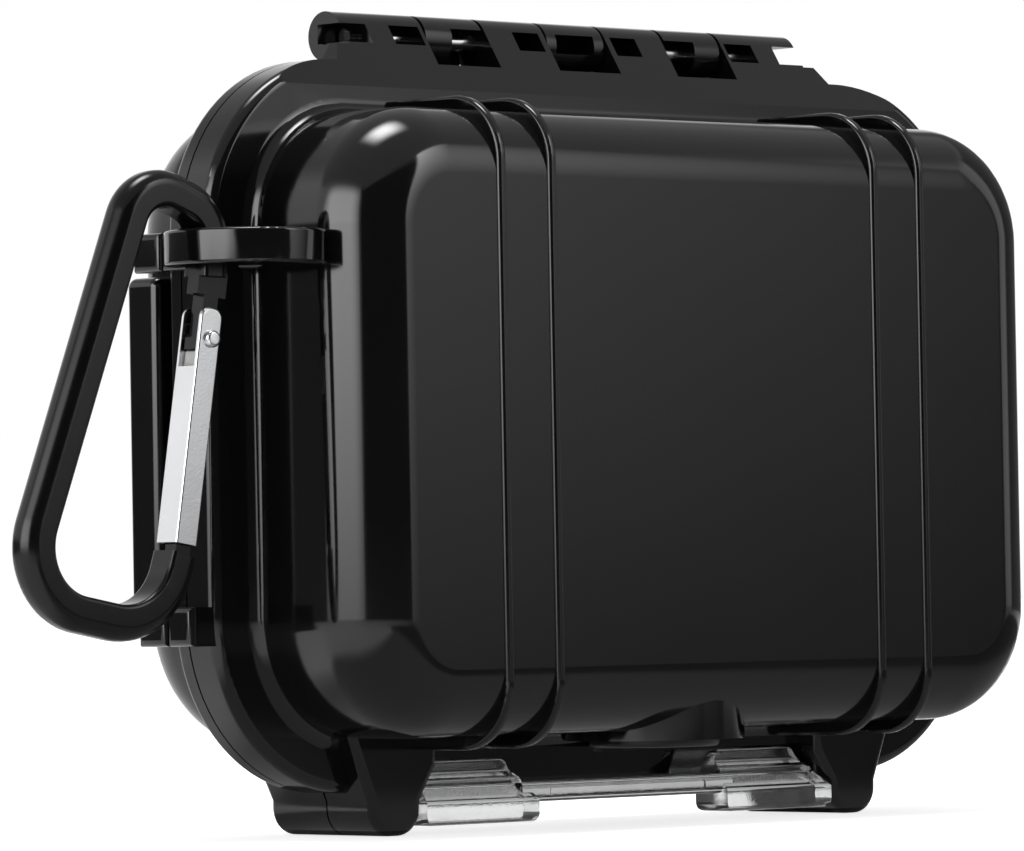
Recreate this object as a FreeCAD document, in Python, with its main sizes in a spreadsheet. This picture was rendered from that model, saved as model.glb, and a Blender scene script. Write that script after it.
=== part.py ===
import FreeCAD
import Part
import Sketcher
import math
import os
from types import SimpleNamespace

# Small watertight hard case with a hinged lid, a clear latch and a carabiner on its end eye.
# +X runs along the hinge, -Y is the tub's bottom face, +Y the lid, +Z points up to the hinge.
# The case stands on its latch edge: the parting plane is Y = 0 and the lug feet are at Z = 0.

SIZES = {
    # Rim: the two flanges that meet at the parting plane
    "rim_band": 8, "rim_corner": 26, "rim_lift": 6.3,
    "base_rim": 6, "base_rim_edge": 1.6, "lid_rim": 3, "lid_rim_edge": 1.2, "parting_gap": 0.3,
    # Base tub and lid dome
    "tub_length": 140, "tub_height": 91, "tub_corner": 17.5, "tub_depth": 30, "tub_edge": 10, "tub_foot": 2.2,
    "dome_side": 1.5, "dome_rise": 2, "dome_corner": 20, "dome_depth": 22, "dome_edge": 10,
    "wall": 2.6,
    # Raised ribs that band the tub
    "rib_inner": 33.2, "rib_outer": 43.1, "rib_width": 1.6, "rib_front": 0.5, "rib_side": 1.9, "rib_edge": 0.6,
    # Ledges and grip blocks on the two ends of the rim
    "ledge_reach": 4, "ledge_height": 5.6, "ledge_drop": 28.8, "ledge_base": 5.4, "ledge_lid": 6.5, "ledge_edge": 1,
    "grip_start": 6, "grip_depth": 7, "grip_gap": 0.4, "grip_edge": 1.4,
    # Eye for the carabiner on the left end
    "eye_y": 14.1, "eye_rise": 24.9, "eye_outer": 11.6, "eye_hole": 9.8, "eye_height": 5, "eye_edge": 0.5,
    # Hinge bracket, knuckles and pins
    "hinge_y": 3.6, "hinge_rise": 4, "knuckle_radius": 3.7, "bracket_half": 47, "bracket_root": 4,
    "plate_wall": 1.8, "slot_drop": 0.5, "plate_half_low": 50.8, "plate_half_high": 49.2,
    "slot_near": 18.3, "slot_far": 30.9, "slot_half": 6.3,
    "window_low": 1.1, "window_height": 2.9, "window_back": 1.6,
    "end_window_near": 31.6, "end_window_far": 37.5, "mid_window_near": 7.4, "mid_window_far": 12.7, "notch_near": 42,
    "lid_knuckle_near": 18.9, "lid_knuckle_far": 30.3, "lid_knuckle_half": 5.8, "lid_knuckle_window": 3.9,
    "side_window_far": 25.1, "side_window_high": 1.8,
    "knuckle_setback": 2.3, "hinge_pin_radius": 1.25, "hinge_pin_near": 14.5, "hinge_pin_far": 43.2,
    # Lugs: the split feet on either side of the latch
    "lug_near": 42.3, "lug_far": 52.1, "lug_flare": 4.2, "lug_narrow": 5, "lug_step": 3.2, "lug_near_step": 0.1,
    "lug_base": 9.8, "lug_lid": 13, "lug_corner": 4, "lug_edge": 1.2,
    # Latch: plate, catch rail and sloped finger pads
    "latch_y": 6.5, "latch_z": 6, "latch_barrel": 2.6, "latch_side_gap": 0.6,
    "latch_plate_low": 4, "latch_plate_high": 5.8, "rail_front": 9, "rail_back": 6.4, "rail_low": 4, "rail_high": 6.9,
    "rail_panel": 0.4, "rail_panel_half": 16, "rail_panel_inset": 0.7, "rail_edge": 0.6,
    "pad_near": 19.4, "pad_low": 1.2, "pad_front": 10.2, "pad_back": 3.2, "pad_edge": 0.6, "pad_round": 1.4,
    "step_one_high": 4.6, "step_two_front": 7.4, "step_two_low": 6.6, "step_two_high": 7.6,
    "step_three_front": 5.4, "step_three_low": 8.8, "step_three_high": 10.5, "pad_inset": 2.6, "pad_outset": 4,
    "catch_gap": 0.4, "latch_pin_radius": 1.2, "latch_pin_near": 37.5, "latch_pin_far": 50,
    # Pressure vent on the latch-side wall
    "vent_y": 14.7, "vent_boss": 13.5, "vent_boss_drop": 1.5, "vent_seat": 10.2, "vent_seat_depth": 2.6,
    "vent_stem": 4.9, "vent_flange": 8.6, "vent_flange_height": 1, "vent_bore": 2, "vent_inset": 0.2,
    "vent_inside": 1.8, "membrane_radius": 5, "membrane_height": 0.4, "membrane_recess": 0.45,
    "vent_ring_major": 6.6, "vent_ring_minor": 0.6, "vent_cap": 9.7, "vent_cap_height": 1.3,
    "vent_cap_hole": 1.2, "vent_cap_hole_circle": 6.2, "retainer_radius": 7.4, "retainer_height": 1.6,
    # Rubber liner, seal and lid foam
    "liner_wall": 1.6, "liner_fit": 0.15, "liner_drop": 0.3, "vent_relief": 0.8,
    "seal_offset": 1.2, "seal_width": 2.2, "seal_depth": 1.5, "seal_proud": 0.18, "seal_groove_gap": 0.15,
    "foam_height": 4, "foam_inset": 7.6, "foam_edge": 1.2,
    # Carabiner: frame, gate, rivet, plunger and spring, in the frame's own plane
    "hang_tilt": 21.8, "hang_out": 10, "hang_y": 11.5, "rod_width": 5.2, "rod_depth": 5, "rod_round": 2.2, "rod_edge": 0.7,
    "top_radius": 6.5, "spine_radius": 9.5, "nose_radius": 10.5, "top_rise": 6.7, "top_side": 3.4, "spine_side": 10.8,
    "spine_side_low": 10.4, "bottom_drop": 57.4, "nose_side": 15.6, "bottom_drop_nose": 52.4,
    "gate_tilt": 12.35, "pivot_side": 8.26, "pivot_drop": 10.66, "neck_rise": 9, "nose_reach": 31,
    "neck_half": 2.6, "neck_plate_low": 6.2, "tongue": 2.4, "tongue_half": 1.3, "tongue_toe": 1.9, "tongue_end": 1.7, "nose_tongue": 7,
    "gate_sheet": 0.6, "gate_width": 4.6, "gate_depth": 3.8, "gate_ear": 4.4, "ear_round": 1.5, "gate_web_drop": 4.2,
    "gate_length": 29.4, "gate_edge": 0.3, "rivet_radius": 0.9, "rivet_head": 1.25, "rivet_head_height": 0.7,
    "plunger_length": 5.6, "plunger_bore": 0.9, "plunger_bore_depth": 3.4, "plunger_gap": 0.08, "plunger_edge": 0.3,
    "spring_radius": 0.6, "spring_wire": 0.3, "spring_length": 11, "spring_turns": 9, "spring_stop": 0.8,
    # Clearances
    "press_gap": 0.01, "run_gap": 0.05, "slide_gap": 0.3, "cut_over": 2,
}

# Shares: angles and proportions with no length
TANGENT_SHARE = math.sqrt(0.5)
PLATE_OUT_SHARE = 0.839
PLATE_UP_SHARE = math.sqrt(1 - PLATE_OUT_SHARE**2)
PLATE_RISE_SHARE = 0.66
MATCH_SHARE = 1e-7
VENT_HOLES = 6

doc = FreeCAD.newDocument("hard_case")
sheet = doc.addObject("Spreadsheet::Sheet", "dims")
for row, (alias, size) in enumerate(SIZES.items(), start=1):
    sheet.set(f"A{row}", alias)
    sheet.set(f"B{row}", str(size))
    sheet.setAlias(f"B{row}", alias)
doc.recompute()

d = SimpleNamespace(**{alias: f"dims.{alias}" for alias in SIZES})
match = MATCH_SHARE * float(sheet.tub_length)


def val(expression):
    """Return the number that an expression in the sheet's aliases stands for."""
    return float(sheet.evalExpression(expression))


def mid(centre, size):
    """Return the low and high ends of a size centred on a place."""
    return f"{centre} - ({size}) / 2", f"{centre} + ({size}) / 2"


def both(half):
    """Return the ends of a span that is symmetric about zero."""
    return f"-({half})", half


def side(sign, near, far):
    """Return a span on the right side, or its mirror on the left."""
    return (near, far) if sign > 0 else (f"-({far})", f"-({near})")


def box(name, x, y, z):
    """Make a box from three spans."""
    body = doc.addObject("Part::Box", name)
    for size, axis, (low, high) in zip(("Length", "Width", "Height"), "xyz", (x, y, z)):
        body.setExpression(size, f"({high}) - ({low})")
        body.setExpression(f"Placement.Base.{axis}", low)
    return body


TURNS = {
    "x": FreeCAD.Rotation(FreeCAD.Vector(0, 1, 0), 90),
    "y": FreeCAD.Rotation(FreeCAD.Vector(1, 0, 0), -90),
    "z": FreeCAD.Rotation(),
}


def cylinder(name, axis, centre, radius, span):
    """Make a cylinder along an axis; centre gives its other two coordinates in order."""
    body = doc.addObject("Part::Cylinder", name)
    body.Placement = FreeCAD.Placement(FreeCAD.Vector(), TURNS[axis])
    body.setExpression("Radius", radius)
    body.setExpression("Height", f"({span[1]}) - ({span[0]})")
    places = list(centre)
    places.insert("xyz".index(axis), span[0])
    for letter, place in zip("xyz", places):
        body.setExpression(f"Placement.Base.{letter}", str(place))
    return body


def prism(name, axis, points, span):
    """Extrude an outline along X (points in Y, Z) or along Y (points in X, Z)."""
    sketch = doc.addObject("Sketcher::SketchObject", f"{name}_outline")
    across = FreeCAD.Vector(0, 1, 0) if axis == "x" else FreeCAD.Vector(1, 0, 0)
    up = FreeCAD.Vector(0, 0, 1)
    sketch.Placement = FreeCAD.Placement(FreeCAD.Vector(), FreeCAD.Rotation(across, up, across.cross(up), "XYZ"))
    sketch.setExpression(f"Placement.Base.{axis}", span[0])
    corners = [FreeCAD.Vector(val(u), val(v), 0) for u, v in points]
    count = len(corners)
    for index, corner in enumerate(corners):
        sketch.addGeometry(Part.LineSegment(corner, corners[(index + 1) % count]))
    for index in range(count):
        sketch.addConstraint(Sketcher.Constraint("Coincident", index, 2, (index + 1) % count, 1))
    for index, (u, v) in enumerate(points):
        for kind, place in (("DistanceX", u), ("DistanceY", v)):
            bound = sketch.addConstraint(Sketcher.Constraint(kind, -1, 1, index, 1, val(place)))
            sketch.setExpression(f"Constraints[{bound}]", place)
    body = doc.addObject("Part::Extrusion", name)
    body.Base = sketch
    body.DirMode = "Custom"
    body.Dir = FreeCAD.Vector(1, 0, 0) if axis == "x" else FreeCAD.Vector(0, 1, 0)
    body.setExpression("LengthFwd", f"({span[1]}) - ({span[0]})")
    body.Solid = True
    return body


def fuse(name, *pieces):
    """Join pieces into one solid."""
    body = doc.addObject("Part::MultiFuse", name)
    body.Shapes = list(pieces)
    return body


def cut(name, base, *tools):
    """Take the tools away from the base."""
    body = doc.addObject("Part::Cut", name)
    body.Base = base
    body.Tool = tools[0] if len(tools) == 1 else fuse(f"{name}_tools", *tools)
    return body


def common(name, first, second):
    """Keep what two pieces share."""
    body = doc.addObject("Part::Common", name)
    body.Base = first
    body.Tool = second
    return body


def fillet(name, base, radius, chosen):
    """Round the edges of base that the test chooses."""
    doc.recompute()
    size = val(radius)
    body = doc.addObject("Part::Fillet", name)
    body.Base = base
    body.Edges = [(n, size, size) for n, edge in enumerate(base.Shape.Edges, start=1) if chosen(edge)]
    return body


def along(axis):
    """Choose straight edges that run along an axis."""
    way = FreeCAD.Vector(*(float(axis == letter) for letter in "xyz"))

    def test(edge):
        if not isinstance(edge.Curve, Part.Line):
            return False
        return abs(edge.tangentAt(edge.FirstParameter).dot(way)) > 1 - MATCH_SHARE
    return test


def level(axis, place):
    """Choose edges that lie wholly at one coordinate."""
    target = val(place)

    def test(edge):
        points = [edge.valueAt(edge.FirstParameter), edge.valueAt(edge.LastParameter)]
        points.append(edge.valueAt((edge.FirstParameter + edge.LastParameter) / 2))
        return all(abs(getattr(point, axis) - target) < match for point in points)
    return test


def every(edge):
    """Choose every edge."""
    return True


def pan(name, x, y, z, corner, face, edge):
    """Make a box with rounded corners seen along Y and a rounded rim on one face across Y."""
    block = fillet(f"{name}_corners", box(f"{name}_block", x, y, z), corner, along("y"))
    return fillet(name, block, edge, level("y", face))


def place(body, base, angle):
    """Turn a piece about Y and move it from its own origin to its place."""
    body.Placement = FreeCAD.Placement(base, FreeCAD.Rotation(FreeCAD.Vector(0, 1, 0), angle))
    return body


# Places that several pieces share
rim_length = f"({d.tub_length} + 2 * {d.rim_band})"
rim_height = f"({d.tub_height} + 2 * {d.rim_band})"
dome_length = f"({d.tub_length} + 2 * {d.dome_side})"
dome_height = f"({d.tub_height} + 2 * {d.dome_rise})"
rim_half = f"{rim_length} / 2"
rim_low = d.rim_lift
rim_top = f"({d.rim_lift} + {rim_height})"
centre_z = f"({d.rim_lift} + {rim_height} / 2)"
eye_z = f"({centre_z} + {d.eye_rise})"
ledge_low = f"({centre_z} - {d.ledge_drop})"
axis_z = f"({rim_top} + {d.hinge_rise})"
tub_low = f"({centre_z} - {d.tub_height} / 2)"
dome_low = f"({centre_z} - {dome_height} / 2)"
dome_top = f"({centre_z} + {dome_height} / 2)"
rim_x = mid("0", rim_length)
rim_z = mid(centre_z, rim_height)
tub_inner_x = mid("0", f"{d.tub_length} - 2 * {d.wall}")
tub_inner_z = mid(centre_z, f"{d.tub_height} - 2 * {d.wall}")
tub_floor = f"-({d.tub_depth} - {d.wall})"
over = d.cut_over
nodes = {}


def node(label, body):
    """Keep a finished piece under its own name."""
    body.Label = label
    nodes[label] = body
    return body


# Base shell: rim, tub and foot fillet
base_rim = pan("base_rim_plate", rim_x, (f"-{d.base_rim}", "0"), rim_z, d.rim_corner, f"-{d.base_rim}", d.base_rim_edge)
tub = pan("tub", mid("0", d.tub_length), (f"-{d.tub_depth}", f"-{d.base_rim} / 2"), mid(centre_z, d.tub_height),
          d.tub_corner, f"-{d.tub_depth}", d.tub_edge)
tub_on_rim = fuse("tub_on_rim", base_rim, tub)


def tub_foot_edge(edge):
    """Choose the loop where the tub's wall meets the rim's front face."""
    inside_x = edge.BoundBox.XMax < val(rim_half) - val(d.base_rim_edge) - match
    inside = inside_x and edge.BoundBox.XMin > -val(rim_half) + val(d.base_rim_edge) + match
    tall = edge.BoundBox.ZMax < val(centre_z) + val(d.tub_height) / 2 + match
    return level("y", f"-{d.base_rim}")(edge) and inside and tall and edge.BoundBox.ZMin > val(tub_low) - match


shell_core = fillet("shell_core", tub_on_rim, d.tub_foot, tub_foot_edge)

# Base shell: ribs over the tub
rib_y = (f"-({d.tub_depth} + {d.rib_front})", f"-{d.base_rim} / 2")
rib_z = mid(centre_z, f"{d.tub_height} + 2 * {d.rib_side}")
ribs = []
for sign in (-1, 1):
    for rank, station in (("inner", d.rib_inner), ("outer", d.rib_outer)):
        name = f"rib_{rank}_{'left' if sign < 0 else 'right'}"
        near = f"{station} - {d.rib_width} / 2"
        slab = box(f"{name}_slab", side(sign, near, f"{near} + {d.rib_width}"), rib_y, rib_z)
        front_low_high = level("y", rib_y[0])
        turned = fillet(f"{name}_turned", slab, d.tub_edge, lambda e: along("x")(e) and front_low_high(e))
        back = level("y", rib_y[1])
        ribs.append(fillet(name, turned, d.rib_edge, lambda e: not along("x")(e) and not back(e)))

# Base shell and lid: ledges at both ends of the rim
def ledges(name, y):
    """Make the four ledge halves that one shell carries."""
    made = []
    for sign in (-1, 1):
        for level_name, height in (("low", ledge_low), ("high", eye_z)):
            x = side(sign, f"{rim_half} - {d.rim_corner} / 2", f"{rim_half} + {d.ledge_reach}")
            raw = box(f"{name}_{level_name}_{'left' if sign < 0 else 'right'}", x, y, mid(height, d.ledge_height))
            outer = level("x", x[1] if sign > 0 else x[0])
            made.append(fillet(f"{raw.Name}_round", raw, d.ledge_edge, outer))
    return made


base_ledges = ledges("base_ledge", (f"-{d.ledge_base}", "0"))

# Base shell: eye for the carabiner
eye_x = f"-({rim_half})"
eye_span = mid(eye_z, d.eye_height)
eye_disc = cylinder("eye_disc", "z", (eye_x, f"-{d.eye_y}"), d.eye_outer, eye_span)
eye_hole = cylinder("eye_hole", "z", (eye_x, f"-{d.eye_y}"), d.eye_hole, mid(eye_z, f"{d.eye_height} + 2 * {over}"))
eye_plate = cut("eye_plate", eye_disc, eye_hole)
eye_flat = [level("z", eye_span[0]), level("z", eye_span[1])]
eye = fillet("eye", eye_plate, d.eye_edge, lambda e: any(test(e) for test in eye_flat))

# Base shell: hinge bracket
barrel_top = f"({axis_z} + {d.knuckle_radius})"
under_bracket = f"({axis_z} - {d.knuckle_radius})"
plate_touch = (f"{d.hinge_y} - {PLATE_OUT_SHARE} * {d.knuckle_radius}", f"{axis_z} + {PLATE_UP_SHARE} * {d.knuckle_radius}")
plate_root = f"({rim_top} - {d.bracket_root})"
bracket_web = prism("bracket_web", "x", [
    (f"-{d.base_rim}", plate_root), plate_touch, (d.hinge_y, axis_z), (d.hinge_y, under_bracket),
    ("0", under_bracket), ("0", plate_root)], both(d.bracket_half))
barrel = cylinder("barrel", "x", (d.hinge_y, axis_z), d.knuckle_radius, both(d.bracket_half))
shelf_y = f"(-{d.base_rim} + {PLATE_RISE_SHARE} * ({plate_touch[0]} + {d.base_rim}))"
shelf_z = f"({plate_root} + {PLATE_RISE_SHARE} * ({plate_touch[1]} - {plate_root}))"
shelf_profile = prism("shelf_profile", "x", [
    (f"-{d.base_rim}", plate_root), (shelf_y, shelf_z), (f"{shelf_y} + {d.plate_wall}", shelf_z),
    ("0", under_bracket), ("0", plate_root)], both(d.plate_half_low))
shelf_front = prism("shelf_front", "y", [
    (f"-{d.plate_half_low}", plate_root), (d.plate_half_low, plate_root), (d.plate_half_low, rim_top),
    (d.plate_half_high, shelf_z), (f"-{d.plate_half_high}", shelf_z), (f"-{d.plate_half_low}", rim_top)],
    (f"-({d.base_rim} + {over})", f"{d.hinge_y}"))
shelf = common("shelf", shelf_profile, shelf_front)
bracket = fuse("bracket", bracket_web, barrel, shelf)

slot_y = (f"-({d.base_rim} + {over})", f"{d.hinge_y} + {d.knuckle_radius} + {over}")
slot_z = (f"{rim_top} - {d.slot_drop}", f"{barrel_top} + {over}")
window_y = (slot_y[0], f"{d.hinge_y} + {d.window_back}")
window_z = (f"{axis_z} - {d.window_low}", f"{axis_z} - {d.window_low} + {d.window_height}")
bracket_cuts = [box("slot_mid", both(d.slot_half), slot_y, slot_z)]
for sign in (-1, 1):
    tag = "left" if sign < 0 else "right"
    bracket_cuts.append(box(f"slot_{tag}", side(sign, d.slot_near, d.slot_far), slot_y, slot_z))
    for name, near, far in (("end_window", d.end_window_near, d.end_window_far),
                            ("mid_window", d.mid_window_near, d.mid_window_far),
                            ("notch", d.notch_near, f"{d.bracket_half} + {over}")):
        bracket_cuts.append(box(f"{name}_{tag}", side(sign, near, far), window_y, window_z))
    bracket_cuts.append(cylinder(f"hinge_bore_{tag}", "x", (d.hinge_y, axis_z), f"{d.hinge_pin_radius} + {d.press_gap}",
                                 side(sign, d.hinge_pin_near, f"{d.bracket_half} + {over}")))
hinge_bracket = cut("hinge_bracket", bracket, *bracket_cuts)
rim_bevel = prism("rim_bevel", "x", [
    (f"-({d.base_rim} + {over})", plate_root), (f"-{d.base_rim}", plate_root), plate_touch,
    (f"-({d.base_rim} + {over})", plate_touch[1])], both(rim_half))
bevelled_core = cut("bevelled_core", shell_core, rim_bevel)


def lug(name, sign, y, top, outer_face, step):
    """Make half of a split foot, flared towards the case and rounded below."""
    near = [(d.lug_near, "0"), (d.lug_near, d.lug_narrow), (f"{d.lug_near} - {step}", f"2 * {d.lug_narrow}"),
            (f"{d.lug_near} - {step}", top)]
    far = [(f"{d.lug_far} + {d.lug_flare}", top), (d.lug_far, d.lug_narrow), (d.lug_far, "0")]
    points = [(x if sign > 0 else f"-({x})", z) for x, z in near + far]
    raw = prism(f"{name}_raw", "y", points, y)
    ground = level("z", "0")
    soled = fillet(f"{name}_soled", raw, d.lug_corner, lambda e: along("y")(e) and ground(e))
    return fillet(name, soled, d.lug_edge, level("y", outer_face))


lug_top_base = f"({tub_low} + {d.wall} / 2)"
base_lugs = [lug(f"base_lug_{tag}", sign, (f"-{d.lug_base}", "0"), lug_top_base, f"-{d.lug_base}", d.lug_step)
             for sign, tag in ((-1, "left"), (1, "right"))]

# Base shell: vent boss, cavity, seal groove, latch notch
vent_face = f"({tub_low} - {d.vent_boss_drop})"
vent_at = ("0", f"-{d.vent_y}")
vent_boss = cylinder("vent_boss", "z", vent_at, d.vent_boss, (vent_face, f"{tub_low} + {d.tub_edge}"))
base_body = fuse("base_body", bevelled_core, *ribs, *base_ledges, eye, hinge_bracket, *base_lugs, vent_boss)
base_cavity = pan("base_cavity", tub_inner_x, (tub_floor, over), tub_inner_z,
                  f"{d.tub_corner} - {d.wall}", tub_floor, f"{d.tub_edge} - {d.wall}")


def frame_ring(name, offset, width, y):
    """Make a flat ring that follows the tub's outline at an offset."""
    rings = []
    for part, grow in (("outer", f"{offset} + {width} / 2"), ("inner", f"{offset} - {width} / 2")):
        raw = box(f"{name}_{part}_raw", mid("0", f"{d.tub_length} + 2 * ({grow})"), y,
                  mid(centre_z, f"{d.tub_height} + 2 * ({grow})"))
        rings.append(fillet(f"{name}_{part}", raw, f"{d.tub_corner} + {grow}", along("y")))
    return cut(name, *rings)


groove_width = f"{d.seal_width} + 2 * {d.seal_groove_gap}"
seal_groove = frame_ring("seal_groove", d.seal_offset, groove_width, (f"-{d.seal_depth}", over))
latch_half = f"({d.lug_near} - {d.latch_side_gap})"
latch_notch = box("latch_notch", both(d.lug_near), (f"-({d.base_rim} + {d.slide_gap})", over),
                  (f"{rim_low} - {over}", f"{d.step_three_high} + {d.catch_gap}"))
vent_seat_top = f"({vent_face} + {d.vent_seat_depth})"
vent_seat = cylinder("vent_seat", "z", vent_at, d.vent_seat, (f"{vent_face} - {over}", vent_seat_top))
vent_hole = cylinder("vent_hole", "z", vent_at, f"{d.vent_stem} + {d.press_gap}",
                     (vent_face, f"{tub_low} + {d.wall} + {d.tub_edge}"))
vent_spotface = cylinder("vent_spotface", "z", vent_at, f"{d.retainer_radius} + {d.slide_gap}",
                         (f"{tub_low} + {d.wall}", f"{tub_low} + {d.wall} + {d.tub_edge}"))
node("base_shell", cut("base_cut", base_body, base_cavity, seal_groove, latch_notch, vent_seat, vent_hole, vent_spotface))

# Lid shell: rim, dome, grips, ledges, lugs and knuckles
lid_y = (d.parting_gap, f"{d.parting_gap} + {d.lid_rim}")
lid_rim = pan("lid_rim_plate", rim_x, lid_y, rim_z, d.rim_corner, lid_y[1], d.lid_rim_edge)
dome = pan("dome", mid("0", dome_length), (d.parting_gap, d.dome_depth), mid(centre_z, dome_height),
           d.dome_corner, d.dome_depth, d.dome_edge)
grips = []
for sign in (-1, 1):
    grip = box(f"grip_{sign + 1}", side(sign, f"{dome_length} / 2 - {d.wall}", rim_half),
               (d.grip_start, f"{d.grip_start} + {d.grip_depth}"),
               (f"{ledge_low} + {d.ledge_height} / 2 + {d.grip_gap}", f"{eye_z} - {d.ledge_height} / 2 - {d.grip_gap}"))
    grips.append(fillet(f"grip_round_{sign + 1}", grip, d.grip_edge, every))
lid_ledges = ledges("lid_ledge", (d.parting_gap, d.ledge_lid))
lug_top_lid = f"({dome_low} + {d.wall} / 2)"
lid_lugs = [lug(f"lid_lug_{tag}", sign, (d.parting_gap, d.lug_lid), lug_top_lid, d.lug_lid, d.lug_near_step)
            for sign, tag in ((-1, "left"), (1, "right"))]
knuckle_front = f"({d.parting_gap} + {d.knuckle_setback})"
knuckle_foot = f"({dome_top} - {d.wall} / 2)"
knuckle_profile = [
    (knuckle_front, knuckle_foot), (knuckle_front, axis_z), (f"{d.hinge_y} + {d.knuckle_radius}", axis_z),
    (f"{d.hinge_y} + {TANGENT_SHARE} * {d.knuckle_radius}", knuckle_foot)]
lid_knuckles = []
for name, span in (("left", side(-1, d.lid_knuckle_near, d.lid_knuckle_far)), ("mid", both(d.lid_knuckle_half)),
                   ("right", side(1, d.lid_knuckle_near, d.lid_knuckle_far))):
    lid_knuckles.append(prism(f"lid_knuckle_web_{name}", "x", knuckle_profile, span))
    lid_knuckles.append(cylinder(f"lid_knuckle_{name}", "x", (d.hinge_y, axis_z), d.knuckle_radius, span))
lid_body = fuse("lid_body", lid_rim, dome, *grips, *lid_ledges, *lid_lugs, *lid_knuckles)
dome_floor = f"({d.dome_depth} - {d.wall})"
lid_cavity = pan("lid_cavity", mid("0", f"{dome_length} - 2 * {d.wall}"), (f"-{over}", dome_floor),
                 mid(centre_z, f"{dome_height} - 2 * {d.wall}"), f"{d.dome_corner} - {d.wall}",
                 dome_floor, f"{d.dome_edge} - {d.wall}")
knuckle_window = box("knuckle_window", both(d.lid_knuckle_window), (f"-{over}", f"{d.hinge_y} + {d.window_back}"), window_z)
lid_cuts = [lid_cavity, knuckle_window]
for sign, tag in ((-1, "left"), (1, "right")):
    lid_cuts.append(box(f"side_window_{tag}", side(sign, f"{d.lid_knuckle_near} - {over}", d.side_window_far),
                        (f"-{over}", f"{d.hinge_y} + {d.window_back}"), (rim_top, f"{axis_z} + {d.side_window_high}")))
    reach = side(sign, f"{d.lid_knuckle_near} - {over}", f"{d.lid_knuckle_far} + {over}")
    lid_cuts.append(cylinder(f"lid_bore_{tag}", "x", (d.hinge_y, axis_z), f"{d.hinge_pin_radius} + {d.run_gap}", reach))
    reach = side(sign, f"{d.lug_near} - {over}", d.latch_pin_far)
    lid_cuts.append(cylinder(f"lug_bore_{tag}", "x", (d.latch_y, d.latch_z), f"{d.latch_pin_radius} + {d.press_gap}", reach))
node("lid_shell", cut("lid_cut", lid_body, *lid_cuts))

# Hinge pins, pressed into the base knuckles
for sign, tag in ((-1, "left"), (1, "right")):
    near = f"{d.hinge_pin_near} + {d.run_gap}"
    node(f"hinge_pin_{tag}", cylinder(f"hinge_rod_{tag}", "x", (d.hinge_y, axis_z), d.hinge_pin_radius,
                                      side(sign, near, d.hinge_pin_far)))

# Latch: barrel, plate, catch rail and two sloped pads
latch_pieces = [
    cylinder("latch_barrel", "x", (d.latch_y, d.latch_z), d.latch_barrel, both(latch_half)),
    box("latch_plate", both(latch_half), (f"-{d.rail_back}", d.latch_y), (d.latch_plate_low, d.latch_plate_high)),
    fillet("rail_round", box("rail", both(f"{d.pad_near} + {d.pad_inset}"), (f"-{d.rail_front}", f"-{d.pad_back}"),
                             (d.rail_low, d.rail_high)), d.rail_edge, every)]
pad_profile = [
    (f"-{d.pad_back}", d.pad_low), (f"-{d.pad_front}", d.pad_low), (f"-{d.pad_front}", d.step_one_high),
    (f"-{d.step_two_front}", d.step_two_low), (f"-{d.step_two_front}", d.step_two_high),
    (f"-{d.step_three_front}", d.step_three_low), (f"-{d.step_three_front}", d.step_three_high),
    (f"-{d.pad_back}", d.step_three_high)]
pad_front_view = [
    (d.pad_near, d.pad_low), (latch_half, d.pad_low), (latch_half, d.step_one_high),
    (f"{latch_half} - {d.pad_outset}", d.step_three_high), (f"{d.pad_near} + {d.pad_inset}", d.step_three_high),
    (d.pad_near, d.step_one_high)]
for sign, tag in ((-1, "left"), (1, "right")):
    long_pad = prism(f"pad_{tag}_long", "x", pad_profile, side(sign, d.pad_near, latch_half))
    outline = [(x if sign > 0 else f"-({x})", z) for x, z in pad_front_view]
    pad_block = prism(f"pad_{tag}_block", "y", outline, (f"-({d.pad_front} + {over})", "0"))
    latch_pieces.append(common(f"pad_{tag}", fillet(f"pad_{tag}_soft", long_pad, d.pad_edge, along("x")),
                               fillet(f"pad_{tag}_ends", pad_block, d.pad_round, along("y"))))
latch_body = fuse("latch_body", *latch_pieces)
latch_bores = [cylinder(f"latch_bore_{tag}", "x", (d.latch_y, d.latch_z), f"{d.latch_pin_radius} + {d.run_gap}",
                        side(sign, f"{d.latch_pin_near} - {d.slide_gap}", f"{latch_half} + {over}"))
               for sign, tag in ((-1, "left"), (1, "right"))]
rail_panel = box("rail_panel_block", both(d.rail_panel_half),
                 (f"-({d.rail_front} + {over})", f"-({d.rail_front} - {d.rail_panel})"),
                 (f"{d.rail_low} + {d.rail_panel_inset}", f"{d.rail_high} - {d.rail_panel_inset}"))
node("latch", cut("latch_cut", latch_body, fillet("rail_panel", rail_panel, d.rail_edge, along("y")), *latch_bores))
for sign, tag in ((-1, "left"), (1, "right")):
    node(f"latch_pin_{tag}", cylinder(f"latch_rod_{tag}", "x", (d.latch_y, d.latch_z), d.latch_pin_radius,
                                      side(sign, d.latch_pin_near, f"{d.latch_pin_far} - {d.run_gap}")))

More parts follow.
